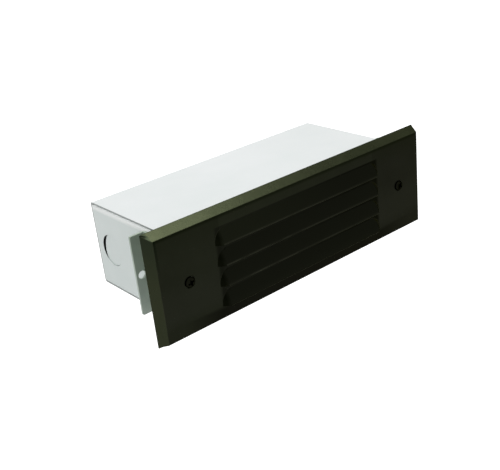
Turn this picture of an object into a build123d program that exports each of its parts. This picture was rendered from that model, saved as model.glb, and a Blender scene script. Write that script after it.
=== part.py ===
"""A recessed step light: a sheet-metal housing with a cast, louvred faceplate.

Millimetres.  X runs along the faceplate, Y runs into the wall and Z is up.  The origin is the middle
of the line between the two ear holes, on the ears' front faces.  Sheet metal, casting, glass, lamp
and wiring are separate pieces, each written to parts/ under its own name.
"""

import os
from math import atan, cos, degrees, hypot, radians, sin, tan

from build123d import *

os.makedirs("parts", exist_ok=True)

# ---------------------------------------------------------------- driving dimensions

# Housing, folded from sheet
box_width = 203.2
box_height = 60.4
box_depth = 92.1
sheet = 1.2
wrap_bend = 1.8             # outer radius of the bends along the back
cap_bend = 2.4              # outer radius of the bends round an end wall
cap_relief = 2.6            # square notch where two flanges meet
wrap_inset = 1.0            # from the end wall to the edge of the folded sheet
flange_gap = 0.7            # between the end caps' flanges and the lens clips

# Ears
ear_setback = 24.9          # ears' front faces behind the wall's face
ear_reach = 11.5            # beyond the end wall
left_ear_height = 54.8
right_ear_height = 52.0     # its top stays below the faceplate's upper edge, seen from above
ear_sheet = 1.6
ear_bend = 2.0
ear_corner = 1.0
ear_leg = 18.5
ear_hole_radius = 2.75
ear_hole_edge = 4.2         # from the hole's centre to the ear's outer edge
rivet_radius = 1.6
rivet_spacing = 30.0
rivet_setback = 9.5         # from the ear's front face to the rivets
rivet_head_radius = 3.2
rivet_head_height = 1.2
rivet_tail_radius = 2.3
rivet_tail_height = 1.0
rivet_taper = 30.0

# Pry-outs in the end walls
knockout_radius = 11.1
knockout_from_back = 20.2
knockout_gap = 0.2
knockout_sunk = 0.5
knockout_slot = 2.2         # widest part of the crescent slot that takes a screwdriver's blade
knockout_slot_radius = 20.0
knockout_slot_angle = 15.0  # the slot lies this far above straight back
knockout_tie_width = 1.6
knockout_tie_angle = 28.0   # the two ties lie this far from straight forward

# Faceplate casting
plate_side = 19.05          # beyond the housing's ends
plate_top = 8.3             # beyond the housing's top and bottom
plate_front_wall = 2.5
plate_lean = 3.6            # how far each edge leans in from back to front
plate_corner = 0.8
plate_arris = 0.5
plate_rim = 3.6             # width of the rim that meets the wall
core_gap = 1.5              # from the gasket to the cored ends
core_rim = 5.0              # from the plate's edge to the cored ends
core_depth = 3.2

# Louvres
louvre_count = 4
louvre_from_end = 27.8      # from the housing's end to the louvres' ends
louvre_margin = 2.5         # from the housing's inner faces to the first and last louvre
louvre_height = 10.8
louvre_proud = 4.2
louvre_corner = 9.4
louvre_cheek_run = 4.8      # how far a cheek leans in over the louvre's depth
louvre_bulge = 0.35
louvre_lip_round = 0.4
louvre_wall = 1.8
louvre_cheek_wall = 2.2
louvre_slot_drop = 0.9      # how far the slot reaches below the lip
louvre_slot_corner = 5.0

# Faceplate screws and what they turn in
screw_from_end = 6.0        # from the housing's end to the screw
screw_radius = 2.08
screw_pitch = 0.794
screw_thread_depth = 0.42
screw_thread_length = 12.0
screw_length = 19.0
screw_head_radius = 3.5
screw_head_height = 2.4
screw_head_edge = 1.1
screw_recess_length = 4.6
screw_recess_width = 1.2
screw_recess_core = 1.3     # radius of the round middle of the recess
screw_recess_depth = 1.5
screw_hole_clearance = 0.25
screw_running_clearance = 0.05
left_screw_turn = 18.0
right_screw_turn = -32.0
spotface_clearance = 0.5
spotface_depth = 1.0
nut_body_radius = 3.5
nut_body_height = 3.8
nut_shank_radius = 2.8
retainer_radius = 4.2
retainer_thickness = 1.0

# Gasket, lens and what holds it
gasket_thickness = 1.2
gasket_side = 2.4           # beyond the housing's ends
gasket_top = 4.0            # beyond the housing's top and bottom
gasket_hole_radius = 5.0
lens_thickness = 3.0
lens_corner = 2.0
lens_edge_gap = 0.6         # from the housing's inner faces to the lens
lens_clearance = 0.3
lens_gasket_thickness = 0.8
lens_gasket_side = 5.0
lens_gasket_margin = 0.2    # from the louvres' slots to the lens gasket
clip_thickness = 0.8
clip_width = 9.0
clip_overlap = 5.0          # of the clip over the lens
clip_spacing = 28.0
clip_margin = 0.3
clip_screw_from_lens = 3.6
clip_screw_radius = 1.42
clip_screw_depth = 4.0
clip_screw_head_radius = 2.4
clip_screw_head_height = 1.5

# Reflector
reflector_sheet = 0.8
reflector_gap = 9.0         # behind the lampholder
reflector_back_height = 48.0
reflector_end_gap = 3.0     # from the end caps' flanges
reflector_front_gap = 9.0   # behind the wall's face
reflector_side_gap = 0.6    # from the housing's sheet
post_from_bushing = 16.0    # centre to centre, along the light
post_radius = 3.6
post_screw_radius = 1.5
post_screw_head_radius = 3.0
post_screw_head_height = 1.8
post_screw_length = 8.0

# Lampholder and its bracket
lamp_from_wall = 27.6
holder_from_reflector_end = 2.0
holder_barrel_length = 26.0
holder_barrel_wall = 3.0
holder_block_length = 12.0
holder_block_side = 34.0
holder_corner = 2.0
holder_mouth_chamfer = 1.0
holder_floor = 4.0
holder_shell_sheet = 0.5
holder_shell_inset = 2.0
holder_bore_clearance = 0.35
contact_sheet = 0.5
contact_width = 6.0
contact_rise = 2.2
contact_foot = 7.0
contact_reach = 5.0
bracket_sheet = 1.2
bracket_height = 32.0
bracket_foot = 16.0
bracket_rivet_from_back = 8.0
bracket_rivet_spacing = 20.0
bracket_rivet_radius = 1.2
bracket_rivet_head_radius = 2.2
bracket_rivet_head_height = 0.9
holder_screw_offset = 13.0  # from the lamp's axis, along Y and Z
holder_screw_radius = 1.6
holder_screw_head_radius = 2.8
holder_screw_head_height = 1.8
holder_screw_length = 8.0
terminal_spacing = 18.0
terminal_radius = 1.4
terminal_head_radius = 3.0
terminal_head_height = 1.6
terminal_depth = 4.0
terminal_from_back = 6.0

# Lamp
lamp_length = 143.0
lamp_radius = 16.0
lamp_glass_wall = 0.8
lamp_neck_radius = 12.0
lamp_neck_length = 12.0
lamp_neck_inset = 4.0       # of the glass in the base
lamp_contact_gap = 0.3
base_crest_radius = 13.1
base_root_radius = 12.55
base_pitch = 3.63
base_threads = 5
base_length = 23.0
base_sheet = 0.3
insulator_length = 3.4
insulator_inset = 0.8
insulator_end_radius = 5.6
base_contact_radius = 4.6
base_contact_height = 1.2
stem_radius = 3.0
stem_length = 26.0
filament_radius = 0.3
filament_length = 52.0
filament_half_span = 8.0
filament_half_foot = 1.4

# Wiring
lead_radius = 1.4
wire_radius = 0.5
lead_half_spacing = 1.7
bushing_from_block = 14.0   # from the holder's block to the bushing's middle
bushing_bore = 3.6
bushing_wall = 1.1
bushing_flange = 1.3
bushing_front = 1.2
bushing_rear = 1.6
bare_end = 11.0
lead_reach = 98.0           # from the bushing to the leads' ends, along the light
ground_reach = 42.0
strip_gap = 6.5             # from a terminal to the end of the insulation
ground_screw_radius = 2.2
ground_head_radius = 4.2
ground_head_height = 2.4
ground_x = 12.0
ground_from_bottom = 12.0   # above the end caps' lower edge
lug_thickness = 0.8
lug_radius = 4.6
lug_barrel_radius = 2.0
lug_barrel_length = 9.0

seat = 0.05                 # round pins that are assembled tight in a hole

# ---------------------------------------------------------------- places worked out from them

half_width = box_width / 2
half_height = box_height / 2
wall_y = -ear_setback
back_y = wall_y + box_depth
inner_half_width = half_width - sheet
cap_half_height = half_height - sheet
cap_back_y = back_y - sheet
wrap_half = half_width - wrap_inset
knockout_y = back_y - knockout_from_back
ear_hole_x = half_width + ear_reach - ear_hole_edge

plate_width = box_width + 2 * plate_side
plate_height = box_height + 2 * plate_top
plate_seat_y = wall_y - gasket_thickness
pocket_y = plate_seat_y - lens_thickness - lens_gasket_thickness
plate_front_y = pocket_y - plate_front_wall
plate_depth = wall_y - plate_front_y
screw_x = half_width - screw_from_end
head_seat_y = plate_front_y + spotface_depth

louvre_width = box_width - 2 * louvre_from_end
louvre_top = cap_half_height - louvre_margin
louvre_pitch = (2 * louvre_top - louvre_height) / (louvre_count - 1)
louvre_lips = [louvre_top - louvre_height - i * louvre_pitch for i in range(louvre_count)]
louvre_wall_rise = louvre_wall * hypot(louvre_proud, louvre_height) / louvre_proud
slot_width = louvre_width - 2 * louvre_cheek_wall

lens_width = slot_width + 2 * (lens_gasket_side + lens_gasket_margin)
lens_height = 2 * (cap_half_height - lens_edge_gap)
clip_screw_x = lens_width / 2 + clip_screw_from_lens
clip_end_x = clip_screw_x + clip_screw_head_radius + clip_margin
flange_x = clip_end_x + flange_gap
cap_flange = half_width - flange_x

reflector_half = flange_x - reflector_end_gap
lamp_y = wall_y + lamp_from_wall
reflector_y = lamp_y + holder_block_side / 2 + reflector_gap
reflector_back = reflector_y + reflector_sheet
wiring_depth = cap_back_y - reflector_back
holder_back_x = reflector_half - holder_from_reflector_end
holder_block_x = holder_back_x - holder_block_length
holder_mouth_x = holder_block_x - holder_barrel_length
holder_floor_x = holder_back_x - holder_floor
shell_radius = base_crest_radius + holder_bore_clearance
holder_bore = shell_radius + holder_shell_sheet + seat
bushing_x = holder_block_x - bushing_from_block
terminal_y = lamp_y + holder_block_side / 2
terminal_x = holder_back_x - terminal_from_back

contact_face_x = holder_floor_x - contact_rise - contact_sheet
lamp_end_x = contact_face_x - lamp_contact_gap
insulator_end_x = lamp_end_x - base_contact_height
base_end_x = insulator_end_x - insulator_length
rim_x = base_end_x - base_length
lamp_tip_x = lamp_end_x - lamp_length
ground_z = ground_from_bottom - cap_half_height
lamp_axis = Axis((0, lamp_y, 0), (1, 0, 0))

SIDES = {"left": -1, "right": 1}


def at_y(y):
    """The upright plane at depth y, seen from the front: its normal points out of the wall."""
    return Plane.XZ.offset(-y)


def at_x(x):
    """The plane across the light at x: its own axes are Y and Z, and its normal is +X."""
    return Plane.YZ.offset(x)


def save(builder, name):
    """Label a finished piece and write it under its own name."""
    builder.part.label = name
    export_step(builder.part, f"parts/{name}.step")


# ---------------------------------------------------------------- housing

with BuildPart() as housing_wrap:
    with BuildSketch(at_x(-wrap_half)) as wrap_outside:
        with Locations(((wall_y + back_y) / 2, 0)):
            Rectangle(box_depth, box_height)
        fillet(wrap_outside.vertices().group_by(Axis.X)[-1], wrap_bend)
    extrude(amount=2 * wrap_half)
    with BuildSketch(at_x(-wrap_half)) as wrap_inside:
        with Locations(((wall_y + cap_back_y) / 2, 0)):
            Rectangle(box_depth - sheet, 2 * cap_half_height)
        fillet(wrap_inside.vertices().group_by(Axis.X)[-1], wrap_bend - sheet)
    extrude(amount=2 * wrap_half, mode=Mode.SUBTRACT)
    with BuildSketch(at_y(back_y)):
        with Locations((ground_x, ground_z)):
            Circle(ground_screw_radius + seat)
    extrude(amount=sheet, mode=Mode.SUBTRACT)
save(housing_wrap, "housing_wrap")


def end_cap(side):
    """An end wall with flanges all round that bend inwards under the folded sheet."""
    wall_x = side * half_width
    inner_x = side * inner_half_width
    outermost = 0 if side < 0 else -1
    with BuildPart() as core:
        with BuildSketch(at_x(inner_x)):
            with Locations(((wall_y + cap_back_y) / 2, 0)):
                Rectangle(cap_back_y - wall_y - 2 * sheet, 2 * (cap_half_height - sheet))
        extrude(amount=-side * cap_flange)
        fillet(core.faces().sort_by(Axis.X)[outermost].edges(), cap_bend - sheet)
    with BuildPart() as cap:
        with BuildSketch(at_x(wall_x)):
            with Locations(((wall_y + cap_back_y) / 2, 0)):
                Rectangle(cap_back_y - wall_y, 2 * cap_half_height)
        extrude(amount=-side * cap_flange)
        fillet(cap.faces().sort_by(Axis.X)[outermost].edges(), cap_bend)
        add(core.part, mode=Mode.SUBTRACT)
        with BuildSketch(at_x(inner_x)):
            for y in (wall_y, cap_back_y):
                for z in (-cap_half_height, cap_half_height):
                    with Locations((y, z)):
                        Rectangle(2 * cap_relief, 2 * cap_relief)
        extrude(amount=-side * cap_flange, mode=Mode.SUBTRACT)
        with BuildSketch(at_x(wall_x)):
            with Locations((knockout_y, 0)):
                Circle(knockout_radius)
            with Locations((-rivet_setback, -rivet_spacing / 2), (-rivet_setback, rivet_spacing / 2)):
                Circle(rivet_radius + seat)
        extrude(amount=-side * sheet, mode=Mode.SUBTRACT)
        with BuildSketch(at_y(wall_y + sheet)):
            with Locations((side * screw_x, 0)):
                Circle(nut_shank_radius + seat)
        extrude(amount=sheet, mode=Mode.SUBTRACT)
    return cap


def knockout(side):
    """A pry-out disc with a crescent slot at its back edge, held by two ties at its front edge."""
    with BuildPart() as disc:
        with BuildSketch(at_x(side * (half_width - knockout_sunk))):
            with Locations((knockout_y, 0)):
                Circle(knockout_radius - knockout_gap)
            # the slot leaves what lies inside a larger circle, whose middle is further forward
            middle = knockout_radius - knockout_slot - knockout_slot_radius
            angle = radians(knockout_slot_angle)
            with Locations((knockout_y + middle * cos(angle), middle * sin(angle))):
                Circle(knockout_slot_radius, mode=Mode.INTERSECT)
            for tie_angle in (180 - knockout_tie_angle, 180 + knockout_tie_angle):
                along = knockout_radius * cos(radians(tie_angle))
                across = knockout_radius * sin(radians(tie_angle))
                with Locations((knockout_y + along, across)):
                    Rectangle(2 * knockout_tie_width, knockout_tie_width, rotation=tie_angle)
            with Locations((knockout_y, 0)):
                Circle(knockout_radius, mode=Mode.INTERSECT)
        extrude(amount=-side * sheet)
    return disc


def mounting_ear(side, height):
    """A bent ear: its leg lies on the end wall and its tab faces forward, with one hole."""
    with BuildPart() as ear:
        with BuildSketch(Plane.XY.offset(-height / 2)) as ear_outline:
            with Locations((side * (half_width + ear_sheet / 2), (ear_sheet - ear_leg) / 2)):
                Rectangle(ear_sheet, ear_leg + ear_sheet)
            with Locations((side * (half_width + ear_reach / 2), ear_sheet / 2)):
                Rectangle(ear_reach, ear_sheet)
            inside_corner = Vector(side * (half_width + ear_sheet), 0)
            outside_corner = Vector(side * half_width, ear_sheet)
            for corner, radius in ((inside_corner, ear_bend - ear_sheet), (outside_corner, ear_bend)):
                nearest = ear_outline.vertices().sort_by_distance(corner)[0]
                fillet(nearest, radius)
        extrude(amount=height)
        tab_edges = ear.edges().filter_by(Axis.Y).sort_by(Axis.X)
        fillet(tab_edges[:2] if side < 0 else tab_edges[-2:], ear_corner)
        with BuildSketch(at_y(ear_sheet)):
            with Locations((side * ear_hole_x, 0)):
                Circle(ear_hole_radius)
        extrude(amount=ear_sheet, mode=Mode.SUBTRACT)
        with BuildSketch(at_x(side * half_width)):
            with Locations((-rivet_setback, -rivet_spacing / 2), (-rivet_setback, rivet_spacing / 2)):
                Circle(rivet_radius + seat)
        extrude(amount=side * ear_sheet, mode=Mode.SUBTRACT)
    return ear


for side_name, side in SIDES.items():
    save(end_cap(side), f"end_cap_{side_name}")
    save(knockout(side), f"knockout_{side_name}")

save(mounting_ear(SIDES["left"], left_ear_height), "mounting_ear_left")
save(mounting_ear(SIDES["right"], right_ear_height), "mounting_ear_right")

with BuildPart() as ear_rivets:
    for side in SIDES.values():
        ear_face = side * (half_width + ear_sheet)
        for z in (-rivet_spacing / 2, rivet_spacing / 2):
            with BuildSketch(at_x(ear_face)):
                with Locations((-rivet_setback, z)):
                    Circle(rivet_head_radius)
            extrude(amount=side * rivet_head_height, taper=rivet_taper)
            with BuildSketch(at_x(ear_face)):
                with Locations((-rivet_setback, z)):
                    Circle(rivet_radius)
            extrude(amount=-side * (ear_sheet + sheet))
            with BuildSketch(at_x(side * inner_half_width)):
                with Locations((-rivet_setback, z)):
                    Circle(rivet_tail_radius)
            extrude(amount=-side * rivet_tail_height)
save(ear_rivets, "ear_rivets")

with BuildPart() as clinch_nuts:
    nut_places = [(-screw_x, 0), (screw_x, 0)]
    with BuildSketch(at_y(wall_y + sheet)):
        with Locations(nut_places):
            Circle(nut_shank_radius)
    extrude(amount=sheet)
    with BuildSketch(at_y(wall_y + sheet + nut_body_height)):
        with Locations(nut_places):
            Circle(nut_body_radius)
    extrude(amount=nut_body_height)
    with BuildSketch(at_y(wall_y + sheet + nut_body_height)):
        with Locations(nut_places):
            Circle(screw_radius + screw_running_clearance)
    extrude(amount=sheet + nut_body_height, mode=Mode.SUBTRACT)
save(clinch_nuts, "clinch_nuts")

# ---------------------------------------------------------------- faceplate


def hooded_outline(width, height, drop, corner):
    """A flat outline with rounded top corners; it reaches below its lip line by drop."""
    with BuildSketch() as outline:
        with Locations((0, (height - drop) / 2)):
            Rectangle(width, height + drop)
        fillet(outline.vertices().group_by(Axis.Y)[-1], corner)
    return outline.sketch


def leaning_hood(width, height, drop, corner):
    """A block standing out of the plate's face; its cheeks and its top lean in alike."""
    run = louvre_cheek_run
    with BuildPart() as block:
        with BuildSketch(at_y(plate_front_y)):
            add(hooded_outline(width, height, drop, corner))
        with BuildSketch(at_y(plate_front_y - louvre_proud)):
            add(hooded_outline(width - 2 * run, height - run, drop, corner - run))
        loft(ruled=True)
    return block


slot_rise = louvre_height - louvre_wall_rise

# One hood, with its lip at Z = 0
with BuildPart() as hood:
    add(leaning_hood(louvre_width, louvre_height, louvre_height, louvre_corner).part)
    with BuildSketch(at_x(-louvre_width / 2)):
        with BuildLine():
            top = Vector(plate_front_y, louvre_height)
            lip = Vector(plate_front_y - louvre_proud, 0)
            bulge = Vector(-louvre_height, louvre_proud).normalized() * louvre_bulge
            ThreePointArc(top, (top + lip) * 0.5 + bulge, lip)
            Polyline(lip, (plate_front_y, 0), top)
        make_face()
    extrude(amount=louvre_width, mode=Mode.INTERSECT)
    lip_edge = hood.edges().filter_by(Axis.X).sort_by(Axis.Y)[0]
    fillet(lip_edge, louvre_lip_round)

# What is cut out of the plate under one hood: the slot through the wall and the hollow of the hood
with BuildPart() as hollow:
    with BuildSketch(at_y(pocket_y)):
        add(hooded_outline(slot_width, slot_rise, louvre_slot_drop, louvre_slot_corner))
    extrude(amount=plate_front_wall)
    add(leaning_hood(slot_width, slot_rise, louvre_slot_drop, louvre_slot_corner).part)
    with BuildSketch(at_x(-louvre_width / 2)):
        lean = louvre_proud / louvre_height
        low_y = plate_front_y - lean * (slot_rise + louvre_slot_drop)
        with BuildLine():
            Polyline(
                (pocket_y, -louvre_slot_drop),
                (pocket_y, slot_rise),
                (plate_front_y, slot_rise),
                (low_y, -louvre_slot_drop),
                close=True,
            )
        make_face()
    extrude(amount=louvre_width, mode=Mode.INTERSECT)

with BuildPart() as faceplate:
    with BuildSketch(at_y(wall_y)):
        RectangleRounded(plate_width, plate_height, plate_corner)
    extrude(amount=plate_depth, taper=degrees(atan(plate_lean / plate_depth)))
    fillet(faceplate.faces().sort_by(Axis.Y)[0].edges(), plate_arris)
    # seat for the gasket, inside the rim that meets the wall
    with BuildSketch(at_y(wall_y)):
        RectangleRounded(plate_width - 2 * plate_rim, plate_height - 2 * plate_rim, lens_corner)
    extrude(amount=gasket_thickness, mode=Mode.SUBTRACT)
    # pocket for the lens
    with BuildSketch(at_y(plate_seat_y)):
        RectangleRounded(
            lens_width + 2 * lens_clearance,
            lens_height + 2 * lens_clearance,
            lens_corner + lens_clearance,
        )
    extrude(amount=plate_seat_y - pocket_y, mode=Mode.SUBTRACT)
    # cored ends
    core_x0 = half_width + gasket_side + core_gap
    core_x1 = plate_width / 2 - core_rim
    with BuildSketch(at_y(plate_seat_y)):
        for side in SIDES.values():
            with Locations((side * (core_x0 + core_x1) / 2, 0)):
                RectangleRounded(core_x1 - core_x0, plate_height - 2 * core_rim, lens_corner)
    extrude(amount=core_depth, mode=Mode.SUBTRACT)
    # louvres
    for lip_z in louvre_lips:
        add(hood.part.moved(Location((0, 0, lip_z))))
    for lip_z in louvre_lips:
        add(hollow.part.moved(Location((0, 0, lip_z))), mode=Mode.SUBTRACT)
    # faceplate screws: a clear hole and a spot face
    with BuildSketch(at_y(plate_seat_y)):
        with Locations((-screw_x, 0), (screw_x, 0)):
            Circle(screw_radius + screw_hole_clearance)
    extrude(amount=plate_seat_y - plate_front_y, mode=Mode.SUBTRACT)
    with BuildSketch(at_y(head_seat_y)):
        with Locations((-screw_x, 0), (screw_x, 0)):
            Circle(screw_head_radius + spotface_clearance)
    extrude(amount=spotface_depth, mode=Mode.SUBTRACT)
    # blind holes for the lens clips' screws
    with BuildSketch(at_y(plate_seat_y)):
        with GridLocations(2 * clip_screw_x, clip_spacing, 2, 2):
            Circle(clip_screw_radius + seat)
    extrude(amount=clip_screw_depth, mode=Mode.SUBTRACT)
save(faceplate, "faceplate")

with BuildPart() as faceplate_gasket:
    with BuildSketch(at_y(wall_y)):
        Rectangle(box_width + 2 * gasket_side, box_height + 2 * gasket_top)
        Rectangle(2 * flange_x, 2 * cap_half_height, mode=Mode.SUBTRACT)
        with Locations((-screw_x, 0), (screw_x, 0)):
            Circle(gasket_hole_radius, mode=Mode.SUBTRACT)
    extrude(amount=gasket_thickness)
save(faceplate_gasket, "faceplate_gasket")

with BuildPart() as lens:
    with BuildSketch(at_y(plate_seat_y)):
        RectangleRounded(lens_width, lens_height, lens_corner)
    extrude(amount=lens_thickness)
save(lens, "lens")

with BuildPart() as lens_gasket:
    lens_opening_half = louvre_slot_drop + lens_gasket_margin - louvre_lips[-1]
    with BuildSketch(at_y(pocket_y + lens_gasket_thickness)):
        RectangleRounded(lens_width, lens_height, lens_corner)
        Rectangle(slot_width + 2 * lens_gasket_margin, 2 * lens_opening_half, mode=Mode.SUBTRACT)
    extrude(amount=lens_gasket_thickness)
save(lens_gasket, "lens_gasket")

with BuildPart() as lens_clips:
    clip_start_x = lens_width / 2 - clip_overlap
    clip_length = clip_end_x - clip_start_x
    with BuildSketch(at_y(plate_seat_y + clip_thickness)):
        with GridLocations(clip_start_x + clip_end_x, clip_spacing, 2, 2):
            RectangleRounded(clip_length, clip_width, clip_margin * 3)
        with GridLocations(2 * clip_screw_x, clip_spacing, 2, 2):
            Circle(clip_screw_radius + seat, mode=Mode.SUBTRACT)
    extrude(amount=clip_thickness)
save(lens_clips, "lens_clips")

with BuildPart() as lens_clip_screws:
    clip_back_y = plate_seat_y + clip_thickness
    with BuildSketch(at_y(clip_back_y + clip_screw_head_height)):
        with GridLocations(2 * clip_screw_x, clip_spacing, 2, 2):
            Circle(clip_screw_head_radius)
    extrude(amount=clip_screw_head_height)
    fillet(lens_clip_screws.faces().group_by(Axis.Y)[-1].edges(), clip_screw_head_height / 3)
    with BuildSketch(at_y(clip_back_y)):
        with GridLocations(2 * clip_screw_x, clip_spacing, 2, 2):
            Circle(clip_screw_radius)
    extrude(amount=clip_thickness + clip_screw_depth)
save(lens_clip_screws, "lens_clip_screws")


def faceplate_screw(x, turn):
    """A pan-head machine screw with a cross recess, its point towards +Y."""
    top_y = head_seat_y - screw_head_height
    point_y = head_seat_y + screw_length
    root = screw_radius - screw_thread_depth
    thread_y = point_y - screw_thread_length
    outline = [(0, top_y), (screw_head_radius, top_y), (screw_head_radius, head_seat_y)]
    outline += [(screw_radius, head_seat_y), (screw_radius, thread_y)]
    turns = int(screw_thread_length / screw_pitch)
    for i in range(turns):
        outline.append((root, thread_y + (i + 0.5) * screw_pitch))
        outline.append((screw_radius, thread_y + (i + 1) * screw_pitch))
    outline += [(root, point_y), (0, point_y)]
    with BuildPart() as screw:
        with BuildSketch(Plane.XY):
            with BuildLine():
                Polyline([(x + r, y) for r, y in outline], close=True)
            make_face()
        revolve(axis=Axis((x, 0, 0), (0, 1, 0)))
        fillet(screw.faces().sort_by(Axis.Y)[0].edges(), screw_head_edge)
        with BuildSketch(at_y(top_y)):
            with Locations((x, 0)):
                Rectangle(screw_recess_length, screw_recess_width, rotation=turn)
                Rectangle(screw_recess_length, screw_recess_width, rotation=turn + 90)
                Circle(screw_recess_core)
        extrude(amount=-screw_recess_depth, mode=Mode.SUBTRACT)
    return screw


save(faceplate_screw(-screw_x, left_screw_turn), "faceplate_screw_left")
save(faceplate_screw(screw_x, right_screw_turn), "faceplate_screw_right")

with BuildPart() as screw_retainers:
    with BuildSketch(at_y(plate_seat_y + retainer_thickness)):
        with Locations((-screw_x, 0), (screw_x, 0)):
            Circle(retainer_radius)
            Circle(screw_radius + screw_running_clearance, mode=Mode.SUBTRACT)
    extrude(amount=retainer_thickness)
save(screw_retainers, "screw_retainers")

# ---------------------------------------------------------------- reflector and its posts

wing_front_y = wall_y + reflector_front_gap
wing_front_z = cap_half_height - reflector_side_gap
wing_back_z = reflector_back_height / 2
wing_slope = (wing_front_z - wing_back_z) / (reflector_back - wing_front_y)
wing_skin = reflector_sheet * hypot(1, wing_slope)
bushing_hole = bushing_bore + bushing_wall
bracket_rivet_x = holder_back_x - bracket_rivet_from_back
bracket_rivet_places = [
    (bracket_rivet_x, -bracket_rivet_spacing / 2),
    (bracket_rivet_x, bracket_rivet_spacing / 2),
]
post_x = bushing_x - post_from_bushing
post_places = [(-post_x, 0), (post_x, 0)]

with BuildPart() as reflector:
    with BuildSketch(at_x(-reflector_half)):
        with BuildLine():
            Polyline(
                (wing_front_y, wing_front_z),
                (reflector_back, wing_back_z),
                (reflector_back, -wing_back_z),
                (wing_front_y, -wing_front_z),
                close=True,
            )
        make_face()
        with BuildLine():
            inner_back_z = wing_back_z + wing_slope * reflector_sheet - wing_skin
            Polyline(
                (wing_front_y, wing_front_z - wing_skin),
                (reflector_y, inner_back_z),
                (reflector_y, -inner_back_z),
                (wing_front_y, wing_skin - wing_front_z),
                close=True,
            )
        make_face(mode=Mode.SUBTRACT)
    extrude(amount=2 * reflector_half)
    with BuildSketch(at_y(reflector_back)):
        with Locations(post_places):
            Circle(post_screw_radius + seat)
        with Locations(bracket_rivet_places):
            Circle(bracket_rivet_radius + seat)
        with Locations((bushing_x, 0)):
            Circle(bushing_hole + seat)
    extrude(amount=reflector_sheet, mode=Mode.SUBTRACT)
save(reflector, "reflector")

with BuildPart() as reflector_posts:
    with BuildSketch(at_y(cap_back_y)):
        with Locations(post_places):
            RegularPolygon(post_radius, 6)
    extrude(amount=cap_back_y - reflector_back)
    with BuildSketch(at_y(reflector_back + post_screw_length)):
        with Locations(post_places):
            Circle(post_screw_radius + seat)
    extrude(amount=post_screw_length, mode=Mode.SUBTRACT)
save(reflector_posts, "reflector_posts")

with BuildPart() as reflector_screws:
    with BuildSketch(at_y(reflector_y)):
        with Locations(post_places):
            Circle(post_screw_head_radius)
    extrude(amount=post_screw_head_height)
    fillet(reflector_screws.faces().group_by(Axis.Y)[0].edges(), post_screw_head_height / 3)
    with BuildSketch(at_y(reflector_y + post_screw_length)):
        with Locations(post_places):
            Circle(post_screw_radius)
    extrude(amount=post_screw_length)
save(reflector_screws, "reflector_screws")

# ---------------------------------------------------------------- lampholder

holder_screw_places = [
    (lamp_y - holder_screw_offset, holder_screw_offset),
    (lamp_y + holder_screw_offset, -holder_screw_offset),
]
terminal_places = [(terminal_x, -terminal_spacing / 2), (terminal_x, terminal_spacing / 2)]

with BuildPart() as lampholder_bracket:
    bracket_back_x = holder_back_x + bracket_sheet
    bracket_front_y = lamp_y - holder_block_side / 2
    foot_front_y = reflector_y - bracket_sheet
    foot_end_x = holder_back_x - bracket_foot
    with BuildSketch(Plane.XY.offset(-bracket_height / 2)):
        with BuildLine():
            Polyline(
                (bracket_back_x, bracket_front_y),
                (bracket_back_x, reflector_y),
                (foot_end_x, reflector_y),
                (foot_end_x, foot_front_y),
                (holder_back_x, foot_front_y),
                (holder_back_x, bracket_front_y),
                close=True,
            )
        make_face()
    extrude(amount=bracket_height)
    with BuildSketch(at_x(holder_back_x)):
        with Locations(holder_screw_places):
            Circle(holder_screw_radius + seat)
    extrude(amount=bracket_sheet, mode=Mode.SUBTRACT)
    with BuildSketch(at_y(reflector_y)):
        with Locations(bracket_rivet_places):
            Circle(bracket_rivet_radius + seat)
    extrude(amount=bracket_sheet, mode=Mode.SUBTRACT)
save(lampholder_bracket, "lampholder_bracket")

with BuildPart() as bracket_rivets:
    for head_y, grow in ((foot_front_y, 1), (reflector_back, -1)):
        with BuildSketch(at_y(head_y)):
            with Locations(bracket_rivet_places):
                Circle(bracket_rivet_head_radius)
        extrude(amount=grow * bracket_rivet_head_height, taper=rivet_taper)
    with BuildSketch(at_y(reflector_back)):
        with Locations(bracket_rivet_places):
            Circle(bracket_rivet_radius)
    extrude(amount=reflector_back - foot_front_y)
save(bracket_rivets, "bracket_rivets")

with BuildPart() as lampholder_body:
    with BuildSketch(at_x(holder_block_x)):
        with Locations((lamp_y, 0)):
            RectangleRounded(holder_block_side, holder_block_side, holder_corner)
    extrude(amount=holder_block_length)
    with BuildSketch(at_x(holder_mouth_x)):
        with Locations((lamp_y, 0)):
            Circle(holder_bore + holder_barrel_wall)
    extrude(amount=holder_barrel_length)
    with BuildSketch(at_x(holder_mouth_x)):
        with Locations((lamp_y, 0)):
            Circle(holder_bore)
    extrude(amount=holder_floor_x - holder_mouth_x, mode=Mode.SUBTRACT)
    mouth_edges = lampholder_body.faces().sort_by(Axis.X)[0].edges()
    chamfer(mouth_edges, holder_mouth_chamfer)
    with BuildSketch(at_x(holder_back_x)):
        with Locations(holder_screw_places):
            Circle(holder_screw_radius + seat)
    extrude(amount=-(holder_screw_length - bracket_sheet), mode=Mode.SUBTRACT)
    with BuildSketch(at_y(terminal_y)):
        with Locations(terminal_places):
            Circle(terminal_radius + seat)
    extrude(amount=terminal_depth, mode=Mode.SUBTRACT)
save(lampholder_body, "lampholder_body")

with BuildPart() as lampholder_shell:
    shell_start_x = holder_mouth_x + holder_shell_inset
    with BuildSketch(at_x(shell_start_x)):
        with Locations((lamp_y, 0)):
            Circle(shell_radius + holder_shell_sheet)
            Circle(shell_radius, mode=Mode.SUBTRACT)
    extrude(amount=holder_floor_x - shell_start_x)
save(lampholder_shell, "lampholder_shell")

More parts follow.
